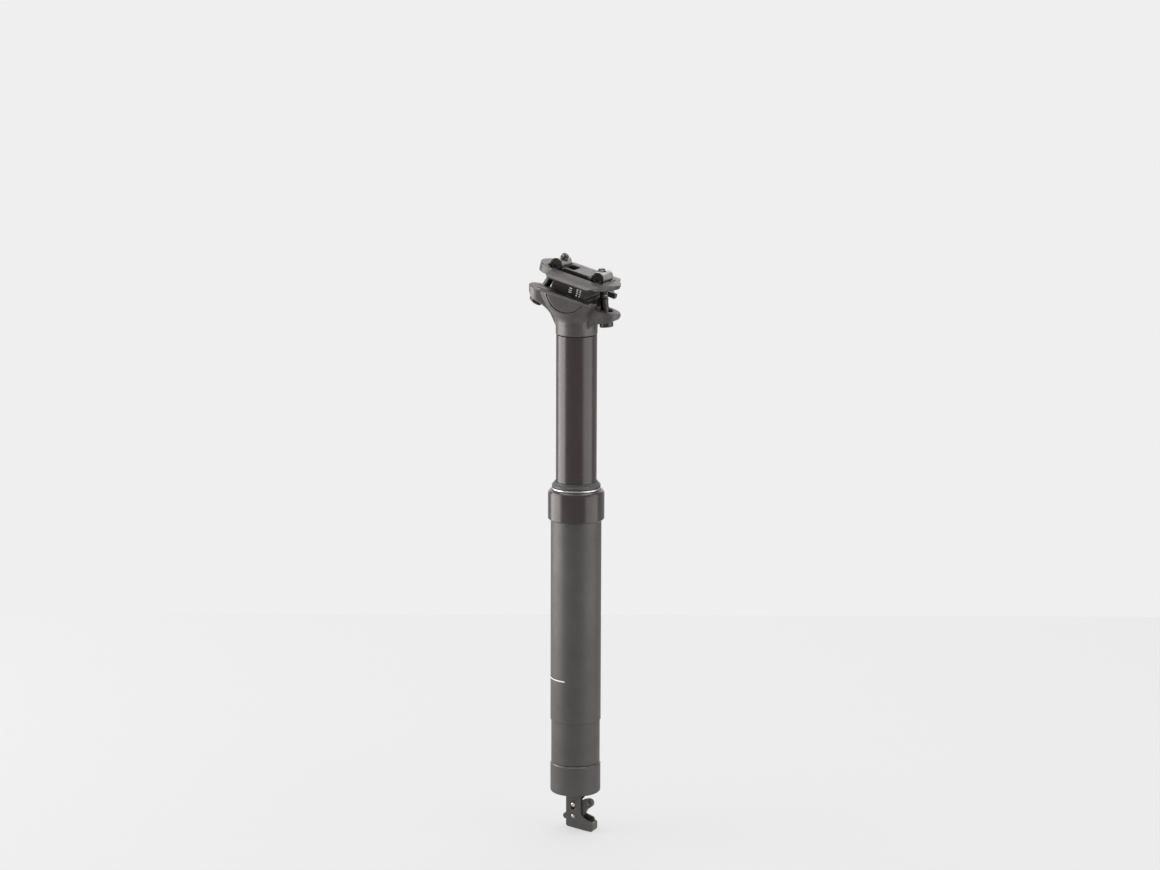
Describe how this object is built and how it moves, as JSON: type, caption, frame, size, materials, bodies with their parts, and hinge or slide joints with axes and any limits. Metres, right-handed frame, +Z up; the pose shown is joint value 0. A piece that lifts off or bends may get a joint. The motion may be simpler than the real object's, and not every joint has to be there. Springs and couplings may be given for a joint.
{
  "type": "telescoping seatpost",
  "caption": "Cable-worked telescoping bicycle seatpost: a slim upper tube with a tilting saddle rail clamp slides into a thicker lower tube with a sealed collar and a lever underneath.",
  "frame": {"origin": "on the post's axis, in the flat bottom of the end cap; the cable bracket hangs below it", "axes": "+Z up along the post, +X forward towards the saddle's nose, +Y to the rider's left"},
  "size_m": [0.0604, 0.0496, 0.3684],
  "materials": {
    "tube_black": "satin anodised",
    "gloss_black": "gloss anodised",
    "forged_black": "fine bead-blasted and anodised",
    "clamp_black": "satin anodised",
    "bracket_black": "satin anodised",
    "bright_ring": "bright turned",
    "plain_steel": "satin",
    "nut_steel": "satin",
    "dark_steel": "blackened",
    "key_brass": "satin",
    "rubber_black": "matt",
    "bearing_plastic": "matt"
  },
  "bodies": {
    "outer": {"outer_tube": "tube_black", "collar": "gloss_black", "wiper_ring": "bright_ring", "wiper_seal": "rubber_black", "upper_bushing": "bearing_plastic", "end_cap": "tube_black", "rod_nut": "plain_steel", "cartridge_rod": "plain_steel", "cartridge_piston": "bearing_plastic", "actuator_bracket": "bracket_black", "lever_pin": "plain_steel"},
    "upper_post": {"stanchion": "gloss_black", "head": "forged_black", "guide_key_1": "key_brass", "guide_key_2": "key_brass", "guide_key_3": "key_brass", "lower_bushing": "bearing_plastic", "retaining_clip": "plain_steel", "cartridge_clip": "plain_steel", "cartridge_body": "plain_steel", "cartridge_gland": "bearing_plastic"},
    "rail_clamp": {"lower_clamp": "clamp_black", "upper_clamp": "forged_black"},
    "front_nut": {"front_barrel_nut": "nut_steel"},
    "rear_nut": {"rear_barrel_nut": "nut_steel"},
    "front_washer": {"front_seat_washer": "dark_steel"},
    "rear_washer": {"rear_seat_washer": "dark_steel"},
    "front_bolt": {"front_clamp_bolt": "dark_steel"},
    "rear_bolt": {"rear_clamp_bolt": "dark_steel"},
    "lever": {"actuator_lever": "bracket_black", "cable_barrel": "dark_steel", "cable_screw": "plain_steel"},
    "valve": {"slot_pin": "plain_steel", "push_pin": "plain_steel"}
  },
  "joints": [
    {"name": "post_travel", "type": "slide", "parent": "outer", "child": "upper_post", "axis": [0, 0, -1], "range_m": [0, 0.09], "stiffness_N_per_m": 60, "springref_m": -0.15},
    {"name": "clamp_tilt", "type": "hinge", "parent": "upper_post", "child": "rail_clamp", "pos_m": [0.0004, 0, 0.3224], "axis": [0, 1, 0], "range_deg": [-6, 6]},
    {"name": "front_nut_turn", "type": "hinge", "parent": "rail_clamp", "child": "front_nut", "pos_m": [0.01711, 0, 0.32957], "axis": [0, 1, 0], "range_deg": [-5.2, 5.2]},
    {"name": "rear_nut_turn", "type": "hinge", "parent": "rail_clamp", "child": "rear_nut", "pos_m": [-0.01079, 0, 0.33673], "axis": [0, 1, 0], "range_deg": [-5.2, 5.2]},
    {"name": "front_washer_rock", "type": "hinge", "parent": "upper_post", "child": "front_washer", "pos_m": [0.02014, 0, 0.29916], "axis": [0, 1, 0], "range_deg": [-1.6, 1.6]},
    {"name": "rear_washer_rock", "type": "hinge", "parent": "upper_post", "child": "rear_washer", "pos_m": [-0.02809, 0, 0.31155], "axis": [0, 1, 0], "range_deg": [-1.6, 1.6]},
    {"name": "front_bolt_spin", "type": "hinge", "parent": "front_washer", "child": "front_bolt", "pos_m": [0.02014, 0, 0.29916], "axis": [-0.0992, 0, 0.9951], "continuous": true},
    {"name": "rear_bolt_spin", "type": "hinge", "parent": "rear_washer", "child": "rear_bolt", "pos_m": [-0.02809, 0, 0.31155], "axis": [0.5663, 0, 0.8242], "continuous": true},
    {"name": "valve_lift", "type": "slide", "parent": "outer", "child": "valve", "axis": [0, 0, 1], "range_m": [0, 0.001], "stiffness_N_per_m": 150, "springref_m": -0.004},
    {"name": "lever_swing", "type": "hinge", "parent": "outer", "child": "lever", "pos_m": [0, 0, -0.0162], "axis": [0, 1, 0], "range_deg": [0, 25.2], "stiffness_Nm_per_rad": 0.00005, "springref_deg": -63.03}
  ],
  "couplings": [
    {"joint": "front_nut_turn", "follows": "clamp_tilt", "ratio": -0.81},
    {"joint": "rear_nut_turn", "follows": "clamp_tilt", "ratio": -0.81},
    {"joint": "front_washer_rock", "follows": "clamp_tilt", "ratio": 0.19},
    {"joint": "rear_washer_rock", "follows": "clamp_tilt", "ratio": 0.19},
    {"joint": "lever_swing", "follows": "valve_lift", "rad_per_m": 436.33}
  ]
}
